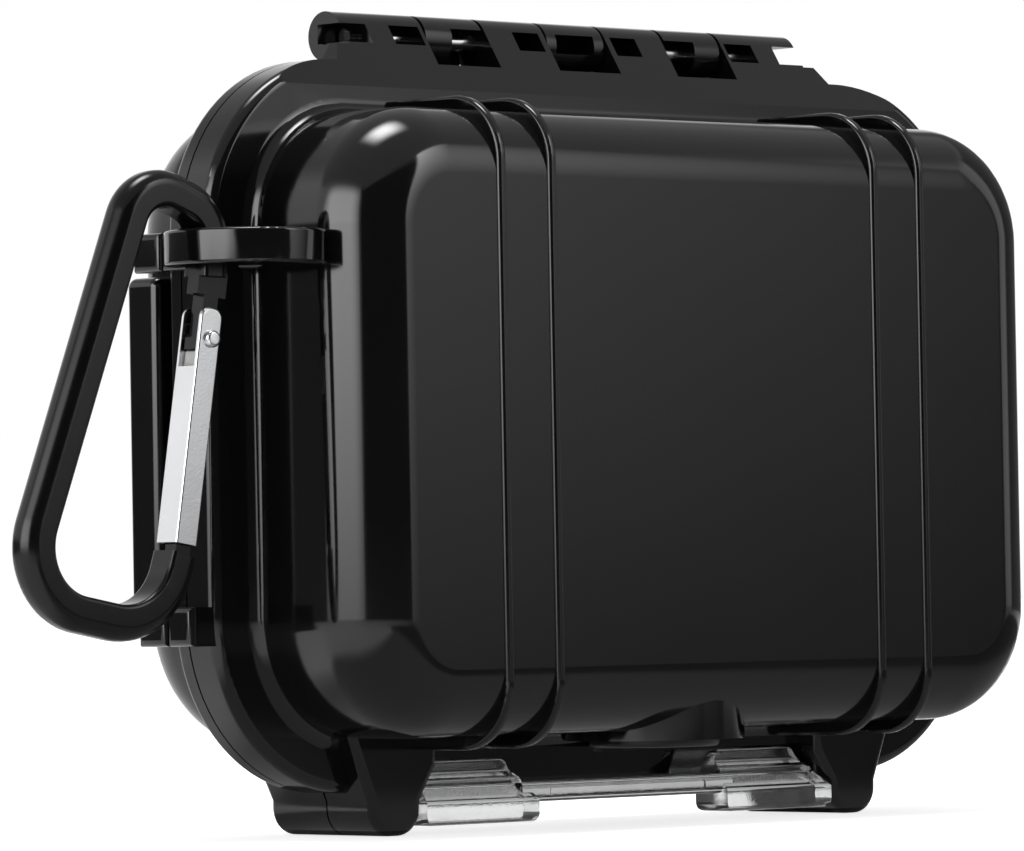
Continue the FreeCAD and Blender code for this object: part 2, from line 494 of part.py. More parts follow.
# Vent: body with flange and stem, ring, membrane, cap and inner retainer
flange_low = f"({vent_face} + {d.vent_inset})"
flange_top = f"({flange_low} + {d.vent_flange_height})"
inner_face = f"({tub_low} + {d.wall})"
stem_top = f"({inner_face} + {d.vent_inside})"
vent_solid = fuse("vent_solid", cylinder("vent_flange", "z", vent_at, d.vent_flange, (flange_low, flange_top)),
                  cylinder("vent_stem", "z", vent_at, d.vent_stem, (flange_low, stem_top)))
recess_top = f"({flange_low} + {d.membrane_recess})"
node("vent_body", cut("vent_cut", vent_solid,
                      cylinder("vent_bore", "z", vent_at, d.vent_bore, (f"{flange_low} - {over}", f"{stem_top} + {over}")),
                      cylinder("membrane_recess", "z", vent_at, f"{d.membrane_radius} + {d.run_gap}",
                               (f"{flange_low} - {over}", recess_top))))
node("vent_membrane", cylinder("membrane", "z", vent_at, d.membrane_radius,
                               (f"{recess_top} - {d.membrane_height}", recess_top)))
vent_ring = doc.addObject("Part::Torus", "vent_ring")
vent_ring.setExpression("Radius1", d.vent_ring_major)
vent_ring.setExpression("Radius2", d.vent_ring_minor)
vent_ring.setExpression("Placement.Base.y", vent_at[1])
vent_ring.setExpression("Placement.Base.z", f"({flange_top} + {vent_seat_top}) / 2")
node("vent_o_ring", vent_ring)
cap_top = f"({flange_low} - {d.press_gap})"
cap_disc = cylinder("cap_disc", "z", vent_at, d.vent_cap, (f"{cap_top} - {d.vent_cap_height}", cap_top))
cap_low = level("z", f"{cap_top} - {d.vent_cap_height}")
cap_round = fillet("cap_round", cap_disc, f"{d.vent_cap_height} / 2", cap_low)
cap_holes = []
for number in range(VENT_HOLES):
    turn = 360 * number / VENT_HOLES
    centre = (f"{d.vent_cap_hole_circle} * cos({turn} deg)", f"-{d.vent_y} + {d.vent_cap_hole_circle} * sin({turn} deg)")
    cap_holes.append(cylinder(f"cap_hole_{number}", "z", centre, f"{d.vent_cap_hole} / 2",
                              (f"{cap_top} - {d.vent_cap_height} - {over}", f"{cap_top} + {over}")))
node("vent_cap", cut("cap_cut", cap_round, *cap_holes))
retainer_low = f"({inner_face} + {d.press_gap})"
node("vent_retainer", cut("retainer_cut", cylinder("retainer_disc", "z", vent_at, d.retainer_radius,
                                                   (retainer_low, f"{retainer_low} + {d.retainer_height}")),
                          cylinder("retainer_bore", "z", vent_at, f"{d.vent_stem} + {d.press_gap}",
                                   (f"{inner_face} - {over}", f"{stem_top} + {over}"))))

# Rubber liner in the tub
liner_size_x = f"{d.tub_length} - 2 * ({d.wall} + {d.liner_fit})"
liner_size_z = f"{d.tub_height} - 2 * ({d.wall} + {d.liner_fit})"
liner_back = f"({tub_floor} + {d.liner_fit})"
liner_outer = pan("liner_outer", mid("0", liner_size_x), (liner_back, f"-{d.liner_drop}"), mid(centre_z, liner_size_z),
                  f"{d.tub_corner} - {d.wall} - {d.liner_fit}", liner_back, f"{d.tub_edge} - {d.wall} - {d.liner_fit}")
liner_floor = f"({liner_back} + {d.liner_wall})"
liner_inner = pan("liner_inner", mid("0", f"{liner_size_x} - 2 * {d.liner_wall}"), (liner_floor, over),
                  mid(centre_z, f"{liner_size_z} - 2 * {d.liner_wall}"),
                  f"{d.tub_corner} - {d.wall} - {d.liner_fit} - {d.liner_wall}", liner_floor,
                  f"{d.tub_edge} - {d.wall} - {d.liner_fit} - {d.liner_wall}")
liner_relief = cylinder("liner_relief", "z", vent_at, f"{d.retainer_radius} + {d.vent_relief}",
                        (f"{inner_face} - {over}", f"{inner_face} + {d.tub_edge}"))
node("base_liner", cut("liner_cut", liner_outer, liner_inner, liner_relief))

# Seal ring in its groove and foam in the lid
node("seal_ring", frame_ring("seal", d.seal_offset, d.seal_width, (f"-({d.seal_depth} - {d.press_gap})", d.seal_proud)))
foam_back = f"({dome_floor} - {d.press_gap})"
foam = pan("foam", mid("0", f"{dome_length} - 2 * ({d.wall} + {d.foam_inset})"),
           (f"{foam_back} - {d.foam_height}", foam_back), mid(centre_z, f"{dome_height} - 2 * ({d.wall} + {d.foam_inset})"),
           f"{d.dome_corner} - {d.foam_inset}", f"{foam_back} - {d.foam_height}", d.foam_edge)
node("lid_foam", foam)

# Carabiner: own frame has its origin on the eye's bar, X towards the gate and Z up the spine
hang_at = FreeCAD.Vector(-val(f"{rim_half} + {d.hang_out}"), -val(d.hang_y), val(eye_z))
tilt = val(d.hang_tilt)
frame_turn = FreeCAD.Placement(hang_at, FreeCAD.Rotation(FreeCAD.Vector(0, 1, 0), tilt))


def rounded_path(corners, radii):
    """Return a wire of straight runs joined by tangent arcs at the inner corners."""
    edges = []
    start = corners[0]
    for before, corner, after, radius in zip(corners, corners[1:], corners[2:], radii):
        back = (before - corner).normalize()
        ahead = (after - corner).normalize()
        half = back.getAngle(ahead) / 2
        first = corner + back * (radius / math.tan(half))
        last = corner + ahead * (radius / math.tan(half))
        to_centre = (back + ahead).normalize()
        middle = corner + to_centre * (radius / math.sin(half) - radius)
        edges.append(Part.LineSegment(start, first).toShape())
        edges.append(Part.Arc(first, middle, last).toShape())
        start = last
    edges.append(Part.LineSegment(start, corners[-1]).toShape())
    return Part.Wire(edges)


def local(across, drop):
    """Return a point of the carabiner's plane from its place across and below the eye's bar."""
    return FreeCAD.Vector(across, 0, -drop)


lean = math.radians(val(d.gate_tilt))
pivot = local(val(d.pivot_side), val(d.pivot_drop))
gate_way = FreeCAD.Vector(math.sin(lean), 0, -math.cos(lean))
neck = pivot - gate_way * val(d.neck_rise)
nose = pivot + gate_way * val(d.nose_reach)
corners = [neck, local(val(d.top_side), -val(d.top_rise)), local(-val(d.spine_side), -val(d.top_rise)),
           local(-val(d.spine_side_low), val(d.bottom_drop)), local(val(d.nose_side), val(d.bottom_drop_nose)), nose]
spine = rounded_path(corners, [val(d.top_radius), val(d.top_radius), val(d.spine_radius), val(d.nose_radius)])
half_width = val(d.rod_width) / 2
half_depth = val(d.rod_depth) / 2
along_start = (corners[1] - neck).normalize()
across_start = FreeCAD.Vector(0, 1, 0).cross(along_start)
section_corners = [neck + across_start * (half_width * a) + FreeCAD.Vector(0, half_depth * b, 0)
                   for a, b in ((-1, -1), (1, -1), (1, 1), (-1, 1))]
section_start = (section_corners[0] + section_corners[1]) / 2
ring = [section_start, *section_corners[1:], section_corners[0], section_start]
section = rounded_path(ring, [val(d.rod_round), val(d.rod_round), val(d.rod_edge), val(d.rod_edge)])
rod = Part.Wire(spine).makePipeShell([section], True, False)
rod_piece = doc.addObject("Part::Feature", "carabiner_rod")
rod_piece.Shape = rod

gate_turn = FreeCAD.Rotation(FreeCAD.Vector(0, 1, 0), -val(d.gate_tilt))
gate_place = FreeCAD.Placement(pivot, gate_turn)
tongue_y = both(f"{d.tongue} / 2")
tongue = box("tongue", both(d.tongue_half), tongue_y, (f"-{d.tongue_end}", f"{d.neck_rise} + {d.rod_edge}"))
tongue_toe = box("tongue_toe", (f"-{d.tongue_toe}", "0"), tongue_y, (f"-{d.tongue_end}", "0"))
neck_plate = box("neck_plate", both(d.neck_half), tongue_y, (d.neck_plate_low, f"{d.neck_rise} + {d.rod_edge}"))
nose_z = f"-{d.nose_reach}"
nose_tongue = box("nose_tongue", both(d.tongue_half), tongue_y, (f"{nose_z} - {d.rod_edge}", f"{nose_z} + {d.nose_tongue}"))
rivet_hole = cylinder("rivet_hole", "y", ("0", "0"), f"{d.rivet_radius} + {d.press_gap}", both(d.gate_width))
tongues = cut("tongues", fuse("tongue_set", tongue, tongue_toe, neck_plate, nose_tongue), rivet_hole)
tongues.Placement = gate_place
frame = fuse("frame_joined", rod_piece, tongues)
frame.Placement = frame_turn
node("carabiner_frame", frame)

# Gate: folded channel whose web faces the inside of the loop
to_world = frame_turn.multiply(gate_place)
web_in = f"-({d.tongue_half} + {d.slide_gap} + {d.gate_sheet})"
gate_x = (web_in, f"{web_in} + {d.gate_depth}")
gate_z = (f"-({d.gate_length})", d.gate_ear)
inner_half = f"({d.gate_width} / 2 - {d.gate_sheet})"
ear_top = level("z", d.gate_ear)
gate_eared = fillet("gate_eared", box("gate_blank", gate_x, both(f"{d.gate_width} / 2"), gate_z), d.ear_round,
                    lambda e: along("y")(e) and ear_top(e))
gate_block = fillet("gate_block", gate_eared, d.gate_edge, along("z"))
gate_channel = box("gate_channel", (f"{web_in} + {d.gate_sheet}", f"{gate_x[1]} + {over}"), both(inner_half),
                   (f"{gate_z[0]} - {over}", f"{d.gate_ear} + {over}"))
gate_mouth = box("gate_mouth", (f"{web_in} - {over}", f"{gate_x[1]} + {over}"), both(inner_half),
                 (f"-{d.gate_web_drop}", f"{d.gate_ear} + {over}"))
gate_bore = cylinder("gate_bore", "y", ("0", "0"), f"{d.rivet_radius} + {d.run_gap}", both(d.gate_width))
spring_top = f"(-{d.tongue_end} - {d.plunger_gap} - {d.plunger_length} + {d.plunger_bore_depth} - {d.slide_gap} * 3)"
spring_low = f"({spring_top} - {d.spring_length})"
stop = box("gate_stop", (f"{web_in} + {d.gate_sheet} / 2", f"{d.tongue_half}"), both(f"{inner_half} + {d.gate_sheet} / 2"),
           (f"{spring_low} - {d.spring_wire} / 2 - {d.spring_stop} - {d.press_gap}",
            f"{spring_low} - {d.spring_wire} / 2 - {d.press_gap}"))
gate = fuse("gate_joined", cut("gate_cut", gate_block, gate_channel, gate_mouth, gate_bore), stop)
gate.Placement = to_world
node("carabiner_gate", gate)

rivet_reach = f"({d.gate_width} / 2 + {d.run_gap})"
rivet_heads = [cylinder(f"rivet_head_{tag}", "y", ("0", "0"), d.rivet_head,
                        side(sign, rivet_reach, f"{rivet_reach} + {d.rivet_head_height}"))
               for sign, tag in ((-1, "near"), (1, "far"))]
rounded_heads = []
for head, sign in zip(rivet_heads, (-1, 1)):
    face = side(sign, rivet_reach, f"{rivet_reach} + {d.rivet_head_height}")[0 if sign < 0 else 1]
    rounded_heads.append(fillet(f"{head.Name}_round", head, f"{d.rivet_head_height} * {TANGENT_SHARE}", level("y", face)))
rivet = fuse("rivet_joined", cylinder("rivet_shank", "y", ("0", "0"), d.rivet_radius, both(rivet_reach)), *rounded_heads)
rivet.Placement = to_world
node("gate_rivet", rivet)

# Plunger in the channel, and its spring inside the plunger's bore
plunger_top = f"(-{d.tongue_end} - {d.plunger_gap})"
plunger_half = f"({inner_half} - {d.slide_gap} / 2)"
plunger_x = (f"{web_in} + {d.gate_sheet} + {d.slide_gap} / 2", f"{d.tongue_half}")
plunger_block = fillet("plunger_block", box("plunger_blank", plunger_x, both(plunger_half),
                                            (f"{plunger_top} - {d.plunger_length}", plunger_top)), d.plunger_edge, every)
bore_x = f"({plunger_x[0]} + {plunger_x[1]}) / 2"
plunger_bore = cylinder("plunger_bore", "z", (bore_x, "0"), d.plunger_bore,
                        (f"{plunger_top} - {d.plunger_length} - {over}",
                         f"{plunger_top} - {d.plunger_length} + {d.plunger_bore_depth}"))
plunger = cut("plunger_cut", plunger_block, plunger_bore)
plunger.Placement = to_world
node("gate_plunger", plunger)

# Spring: one unbroken wire of half-turn arcs that climb at a steady pitch
coil_radius = val(d.spring_radius)
coil_low = val(spring_low)
coil_length = val(d.spring_length)
half_turns = 2 * int(val(d.spring_turns))
coil_centre = val(bore_x)


def coil_point(turns):
    """Return the wire's centre after a number of turns."""
    angle = 2 * math.pi * turns
    height = coil_low + coil_length * turns * 2 / half_turns
    return FreeCAD.Vector(coil_centre + coil_radius * math.cos(angle), coil_radius * math.sin(angle), height)


coil_edges = [Part.Arc(coil_point(n / 4), coil_point(n / 4 + 1 / 8), coil_point(n / 4 + 1 / 4)).toShape()
              for n in range(2 * half_turns)]
coil_wire = Part.Wire(coil_edges)
coil_first = coil_edges[0]
coil_section = Part.Wire(Part.makeCircle(val(d.spring_wire) / 2, coil_first.valueAt(coil_first.FirstParameter),
                                         coil_first.tangentAt(coil_first.FirstParameter)))
spring = doc.addObject("Part::Feature", "spring_coil")
spring.Shape = coil_wire.makePipeShell([coil_section], True, False)
spring.Placement = to_world
node("gate_spring", spring)

# Check every object and write the pieces
doc.recompute()
for item in doc.Objects:
    if "Invalid" in item.State or "Error" in item.State:
        raise RuntimeError(f"{item.Name} failed: {item.State}")
for label, body in nodes.items():
    shape = body.Shape
    if shape.isNull() or not shape.isValid() or not shape.Solids:
        raise RuntimeError(f"{label} has no valid solid")
    print(f"{label}: {len(shape.Solids)} solid, {shape.Volume:.1f} mm3")
os.makedirs("parts", exist_ok=True)
for label, body in nodes.items():
    body.Shape.exportStep(f"parts/{label}.step")
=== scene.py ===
import bpy
import bmesh
import math
from mathutils import Matrix, Vector


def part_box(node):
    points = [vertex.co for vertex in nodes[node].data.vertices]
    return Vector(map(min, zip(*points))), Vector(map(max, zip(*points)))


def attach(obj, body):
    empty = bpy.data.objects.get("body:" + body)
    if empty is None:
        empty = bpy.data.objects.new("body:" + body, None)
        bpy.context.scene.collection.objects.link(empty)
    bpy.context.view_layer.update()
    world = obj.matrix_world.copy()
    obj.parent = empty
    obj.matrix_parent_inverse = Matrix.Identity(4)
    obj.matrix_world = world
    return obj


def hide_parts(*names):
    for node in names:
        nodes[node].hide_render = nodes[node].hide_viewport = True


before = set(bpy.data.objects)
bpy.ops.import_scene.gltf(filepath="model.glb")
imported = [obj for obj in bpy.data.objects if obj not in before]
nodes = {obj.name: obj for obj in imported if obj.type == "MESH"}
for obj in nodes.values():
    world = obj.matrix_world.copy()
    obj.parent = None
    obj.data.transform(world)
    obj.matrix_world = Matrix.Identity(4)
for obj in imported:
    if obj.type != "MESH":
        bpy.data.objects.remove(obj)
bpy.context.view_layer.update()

scene = bpy.context.scene
MM = 0.001


# Camera at the photograph's place
IMAGE_WIDTH = 1024
SENSOR_WIDTH = 36
AZIMUTH = math.radians(-43.086)
ELEVATION = math.radians(-1.294)
ROLL = math.radians(-1.017)
FOCAL_PX, DISTANCE = 6925.3, 1.0465
TARGET = Vector((0, 0, 0.0605))
TARGET_PX = (69.76, -2.96)
NEAR_CLIP, FAR_CLIP = 0.01, 100


def set_camera():
    level = math.cos(ELEVATION)
    back = Vector((math.sin(AZIMUTH) * level, -math.cos(AZIMUTH) * level, math.sin(ELEVATION)))
    right = Vector((math.cos(AZIMUTH), math.sin(AZIMUTH), 0))
    up = back.cross(right)
    rolled_right = right * math.cos(ROLL) + up * math.sin(ROLL)
    rolled_up = up * math.cos(ROLL) - right * math.sin(ROLL)
    data = bpy.data.cameras.new("camera")
    data.sensor_fit = "HORIZONTAL"
    data.sensor_width = SENSOR_WIDTH
    data.lens = FOCAL_PX / IMAGE_WIDTH * data.sensor_width
    data.shift_x = -TARGET_PX[0] / IMAGE_WIDTH
    data.shift_y = TARGET_PX[1] / IMAGE_WIDTH
    data.clip_start, data.clip_end = NEAR_CLIP, FAR_CLIP
    camera = bpy.data.objects.new("camera", data)
    scene.collection.objects.link(camera)
    turn = Matrix((rolled_right, rolled_up, back)).transposed().to_4x4()
    camera.matrix_world = Matrix.Translation(TARGET + back * DISTANCE) @ turn
    scene.camera = camera


# Node helpers
def new_material(name):
    material = bpy.data.materials.new(name)
    material.use_nodes = True
    tree = material.node_tree
    return material, tree, tree.nodes["Principled BSDF"]


def add(tree, kind, **values):
    """A node whose settings and inputs are given by name."""
    node = tree.nodes.new(kind)
    for key, value in values.items():
        if hasattr(node, key):
            setattr(node, key, value)
        else:
            node.inputs[key.replace("_", " ")].default_value = value
    return node


def link(tree, output, target):
    tree.links.new(output, target)


def calc(tree, operation, *terms):
    """Output of a maths node whose terms are numbers or other outputs."""
    node = add(tree, "ShaderNodeMath", operation=operation)
    for socket, term in zip(node.inputs, terms):
        if isinstance(term, (int, float)):
            socket.default_value = term
        else:
            link(tree, term, socket)
    return node.outputs[0]


def new_group(name, inputs, outputs):
    tree = bpy.data.node_groups.new(name, "ShaderNodeTree")
    for label, value in inputs.items():
        socket = tree.interface.new_socket(label, in_out="INPUT", socket_type="NodeSocketFloat")
        socket.default_value = value
    for label in outputs:
        tree.interface.new_socket(label, in_out="OUTPUT", socket_type="NodeSocketFloat")
    return tree, tree.nodes.new("NodeGroupInput"), tree.nodes.new("NodeGroupOutput")


def use_group(tree, group, **values):
    node = tree.nodes.new("ShaderNodeGroup")
    node.node_tree = group
    for key, value in values.items():
        node.inputs[key.replace("_", " ")].default_value = value
    return node


# Moulded skin: broad flow marks, fine grain and stretched hairlines
FLOW = {"Scale": 38.0, "Detail": 3.0, "Roughness": 0.5}
GRAIN = {"Scale": 900.0, "Detail": 2.0, "Roughness": 0.6}
HAIRLINES = {"Scale": 1.0, "Detail": 4.0, "Roughness": 0.7}
HAIRLINE_STRETCH = (60, 60, 1600)
HAIRLINE_TURN = (0.4, 0.9, 0.3)
HAIRLINE_SHOWS = {"From_Min": 0.62, "From_Max": 0.74}
FLOW_SPREAD = {"From_Min": 0.3, "From_Max": 0.7}
GRAIN_SHARE = 0.35


def make_moulded_skin():
    """Flow marks, haze and hairline scuffs of a moulded or coated surface."""
    tree, given, out = new_group("moulded skin", {"Scale": 1.0, "Low": 0.1, "High": 0.2, "Scuffs": 0.0},
                                 ("Roughness", "Height", "Haze"))
    place = add(tree, "ShaderNodeTexCoord")
    sized = add(tree, "ShaderNodeVectorMath", operation="SCALE")
    link(tree, place.outputs["Object"], sized.inputs[0])
    link(tree, given.outputs["Scale"], sized.inputs["Scale"])
    flow = add(tree, "ShaderNodeTexNoise", **FLOW)
    grain = add(tree, "ShaderNodeTexNoise", **GRAIN)
    lines = add(tree, "ShaderNodeTexNoise", **HAIRLINES)
    stretched = add(tree, "ShaderNodeMapping", Scale=HAIRLINE_STRETCH, Rotation=HAIRLINE_TURN)
    for user in (flow, grain, stretched):
        link(tree, sized.outputs[0], user.inputs["Vector"])
    link(tree, stretched.outputs[0], lines.inputs["Vector"])
    scuff = add(tree, "ShaderNodeMapRange", **HAIRLINE_SHOWS)
    link(tree, lines.outputs["Fac"], scuff.inputs["Value"])
    spread = add(tree, "ShaderNodeMapRange", **FLOW_SPREAD)
    link(tree, flow.outputs["Fac"], spread.inputs["Value"])
    link(tree, given.outputs["Low"], spread.inputs["To Min"])
    link(tree, given.outputs["High"], spread.inputs["To Max"])
    scuffed = calc(tree, "MULTIPLY", scuff.outputs[0], given.outputs["Scuffs"])
    roughness = calc(tree, "ADD", spread.outputs[0], scuffed)
    height = calc(tree, "MULTIPLY_ADD", grain.outputs["Fac"], GRAIN_SHARE, flow.outputs["Fac"])
    link(tree, roughness, out.inputs["Roughness"])
    link(tree, height, out.inputs["Height"])
    link(tree, flow.outputs["Fac"], out.inputs["Haze"])
    return tree


def mix_colours(tree, factor, first, second, target):
    mix = add(tree, "ShaderNodeMix", data_type="RGBA")
    mix.inputs["A"].default_value = (*first, 1)
    mix.inputs["B"].default_value = (*second, 1)
    link(tree, factor, mix.inputs["Factor"])
    link(tree, mix.outputs["Result"], target)


def bump(tree, height, shader, strength, distance):
    node = add(tree, "ShaderNodeBump", Strength=strength, Distance=distance)
    link(tree, height, node.inputs["Height"])
    link(tree, node.outputs["Normal"], shader.inputs["Normal"])


skin_group = make_moulded_skin()


def skinned(name, dark, light, low, high, scuffs=0.0, scale=1.0, strength=0.05, distance=0.00005, **sockets):
    """A material from dark to light and from low to high roughness, all by the moulded skin group."""
    material, tree, shader = new_material(name)
    skin = use_group(tree, skin_group, Scale=scale, Low=low, High=high, Scuffs=scuffs)
    mix_colours(tree, skin.outputs["Haze"], dark, light, shader.inputs["Base Color"])
    link(tree, skin.outputs["Roughness"], shader.inputs["Roughness"])
    bump(tree, skin.outputs["Height"], shader, strength, distance)
    for key, value in sockets.items():
        shader.inputs[key.replace("_", " ")].default_value = value
    return material


gloss_black = skinned("gloss black shell", (0.003, 0.003, 0.0032), (0.0048, 0.0048, 0.0051), 0.07, 0.12,
                      scuffs=0.04, strength=0.04, distance=0.00004, IOR=1.53)
clear_latch = skinned("clear latch", (0.36, 0.363, 0.366), (0.56, 0.563, 0.566), 0.02, 0.06,
                      scale=4.0, strength=0.3, distance=0.0001, Transmission_Weight=1.0, IOR=1.56)
bright_pin = skinned("bright pin", (0.66, 0.66, 0.67), (0.78, 0.78, 0.79), 0.14, 0.26,
                     scuffs=0.2, scale=4.0, Metallic=1.0)
anodised = skinned("black anodised rod", (0.002, 0.002, 0.0022), (0.004, 0.004, 0.0043), 0.15, 0.21,
                   scuffs=0.1, scale=2.0, strength=0.06, IOR=1.4)
plated_gate = skinned("plated gate", (0.7, 0.71, 0.73), (0.88, 0.88, 0.89), 0.14, 0.26,
                      scuffs=0.2, scale=3.0, strength=0.2, distance=0.0001, Metallic=1.0)
white_nylon = skinned("white nylon", (0.74, 0.74, 0.72), (0.82, 0.82, 0.8), 0.35, 0.5,
                      scale=3.0, strength=0.1)
liner_rubber = skinned("liner rubber", (0.012, 0.012, 0.013), (0.022, 0.022, 0.024), 0.6, 0.8,
                       scale=2.0, strength=0.25, distance=0.0001)
seal_rubber = skinned("seal rubber", (0.015, 0.015, 0.016), (0.028, 0.028, 0.03), 0.42, 0.6,
                      scale=3.0, strength=0.2)
foam_cells = skinned("foam cells", (0.012, 0.012, 0.013), (0.035, 0.035, 0.038), 0.85, 0.95,
                     scale=5.0, strength=0.7, distance=0.0003)
vent_plastic = skinned("vent plastic", (0.01, 0.01, 0.011), (0.018, 0.018, 0.019), 0.3, 0.42,
                       scale=2.0, strength=0.1)
membrane_cloth = skinned("membrane cloth", (0.7, 0.7, 0.69), (0.85, 0.85, 0.84), 0.7, 0.85,
                         scale=6.0, strength=0.3)

# Title, finish, body and record slot of the smooth copy of each CAD node that gets one
COPIES = {
    "base_shell": ("tub_moulding", gloss_black, "base", "shell_black"),
    "lid_shell": ("lid_moulding", gloss_black, "lid", "shell_black"),
    "latch": ("latch_moulding", clear_latch, "latch", "latch_clear"),
    "vent_cap": ("vent_lens", vent_plastic, "base", "vent_black"),
    "carabiner_frame": ("forged_frame", anodised, "carabiner", "carabiner_black"),
    "carabiner_gate": ("folded_gate", plated_gate, "gate", "gate_steel"),
    "gate_rivet": ("domed_rivet", plated_gate, "carabiner", "pin_steel"),
    "gate_plunger": ("nylon_plunger", white_nylon, "plunger", "plunger_nylon"),
}
# Finish of each CAD node that keeps its own mesh
KEPT = {
    "hinge_pin_left": bright_pin, "hinge_pin_right": bright_pin,
    "latch_pin_left": bright_pin, "latch_pin_right": bright_pin, "gate_spring": bright_pin,
    "vent_body": vent_plastic, "vent_retainer": vent_plastic,
    "vent_o_ring": seal_rubber, "vent_membrane": membrane_cloth,
}

# Outer round of each shell: half length, half height, corner, depth, edge round and the side that it bulges to
MIDDLE_Z = 0.0598
ROUNDS = {
    "base_shell": (0.070, 0.0455, 0.0175, 0.030, 0.010, -1),
    "lid_shell": (0.0715, 0.0475, 0.020, 0.022, 0.010, 1),
}
ON_ROUND = 0.00004
FACES_ALIKE = 0.9

SMOOTH_ANGLE = math.radians(28)
MERGE_DISTANCE = 2e-6
SLIVER_LENGTH = 1e-7
FLAT_FACE_WEIGHT = 50


def clamp(value, reach):
    return max(-reach, min(reach, value))


def true_normal(point, half_x, half_z, corner, depth, edge, side):
    """Normal of the rounded pan at a point on it, or None off it."""
    core = corner - edge
    x, z = point.x, point.z - MIDDLE_Z
    flat_x = clamp(x, half_x - corner)
    flat_z = clamp(z, half_z - corner)
    out = Vector((x - flat_x, 0, z - flat_z))
    if out.length > core:
        out *= core / out.length
    y = min(point.y * side, depth - edge)
    away = point - Vector((flat_x + out.x, y * side, flat_z + out.z + MIDDLE_Z))
    return away.normalized() if abs(away.length - edge) < ON_ROUND else None


def true_rounds(data, shape):
    """Give the corners of the faces that lie on the pan its exact normals."""
    normals = [Vector(corner.vector) for corner in data.corner_normals]
    exact = [true_normal(vertex.co, *shape) for vertex in data.vertices]
    for face in data.polygons:
        found = [exact[index] for index in face.vertices]
        if all(normal is not None and normal.dot(face.normal) > FACES_ALIKE for normal in found):
            for loop, normal in zip(face.loop_indices, found):
                normals[loop] = normal
    data.normals_split_custom_set(normals)


def apply_modifiers(piece):
    graph = bpy.context.evaluated_depsgraph_get()
    finished = bpy.data.meshes.new_from_object(piece.evaluated_get(graph))
    piece.modifiers.clear()
    piece.data = finished


def smooth_copy(name, title, material, body, slot):
    """A merged copy of a CAD node whose flat faces rule the normals of the rounds beside them."""
    mesh = bmesh.new()
    mesh.from_mesh(nodes[name].data)
    mesh.transform(nodes[name].matrix_world)
    bmesh.ops.remove_doubles(mesh, verts=mesh.verts, dist=MERGE_DISTANCE)
    bmesh.ops.dissolve_degenerate(mesh, edges=mesh.edges, dist=SLIVER_LENGTH)
    mesh.verts.index_update()
    data = bpy.data.meshes.new(title)
    data.from_pydata([v.co for v in mesh.verts], [], [[v.index for v in f.verts] for f in mesh.faces])
    mesh.free()
    data.set_sharp_from_angle(angle=SMOOTH_ANGLE)
    data.materials.append(material)
    piece = bpy.data.objects.new(title, data)
    scene.collection.objects.link(piece)
    weighted = piece.modifiers.new("flat faces first", "WEIGHTED_NORMAL")
    weighted.mode = "FACE_AREA"
    weighted.weight = FLAT_FACE_WEIGHT
    weighted.keep_sharp = True
    apply_modifiers(piece)
    if name in ROUNDS:
        true_rounds(piece.data, ROUNDS[name])
    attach(piece, body)
    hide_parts(name)


for name, finish in KEPT.items():
    nodes[name].data.materials.clear()
    nodes[name].data.materials.append(finish)
for name, copy in COPIES.items():
    smooth_copy(name, *copy)


# Mesh helpers for the soft pieces
CORNER_STEPS = 10
ARC_STEPS = 6


def outline(half_x, half_z, corner, y, centre_z):
    """Points of a rounded rectangle across X and Z at one Y."""
    points = []
    for turn, sx, sz in ((0, 1, 1), (1, -1, 1), (2, -1, -1), (3, 1, -1)):
        for step in range(CORNER_STEPS + 1):
            angle = math.pi / 2 * (turn + step / CORNER_STEPS)
            points.append(Vector((sx * (half_x - corner) + corner * math.cos(angle), y,
                                  centre_z + sz * (half_z - corner) + corner * math.sin(angle))))
    return points


def halves(low, high):
    """Half length, half height and mid height of a box."""
    return (high.x - low.x) / 2, (high.z - low.z) / 2, (low.z + high.z) / 2


def arc(start, end):
    """Angles in even steps between two angles in degrees."""
    return [math.radians(start + (end - start) * index / ARC_STEPS) for index in range(ARC_STEPS + 1)]


def smooth_piece(name, mesh, material):
    """A smooth-shaded piece from a finished mesh."""
    bmesh.ops.recalc_face_normals(mesh, faces=mesh.faces)
    data = bpy.data.meshes.new(name)
    mesh.to_mesh(data)
    mesh.free()
    data.materials.append(material)
    data.polygons.foreach_set("use_smooth", [True] * len(data.polygons))
    piece = bpy.data.objects.new(name, data)
    scene.collection.objects.link(piece)
    return piece


def band(mesh, first, second):
    """Faces between two closed rows of points."""
    count = len(first)
    for index in range(count):
        after = (index + 1) % count
        mesh.faces.new((first[index], first[after], second[after], second[index]))


def loft(name, rings, material, loop=False):
    """Skin a run of outlines, capped at both ends or joined round."""
    mesh = bmesh.new()
    rows = [[mesh.verts.new(point) for point in ring] for ring in rings]
    for first, second in zip(rows, rows[1:] + rows[:1] if loop else rows[1:]):
        band(mesh, first, second)
    if not loop:
        mesh.faces.new(rows[0])
        mesh.faces.new(rows[-1])
    return smooth_piece(name, mesh, material)


# Rubber liner with a rolled lip and a round hole over the vent
LINER_CORNER, LINER_EDGE, LINER_WALL = 14.75 * MM, 7.25 * MM, 1.6 * MM
VENT_HOLE_RADIUS, VENT_HOLE_DEPTH, VENT_HOLE_SIDES = 8.2 * MM, 12 * MM, 48
VENT_HOLE_PLACE = (0, -14.7 * MM, 17 * MM)


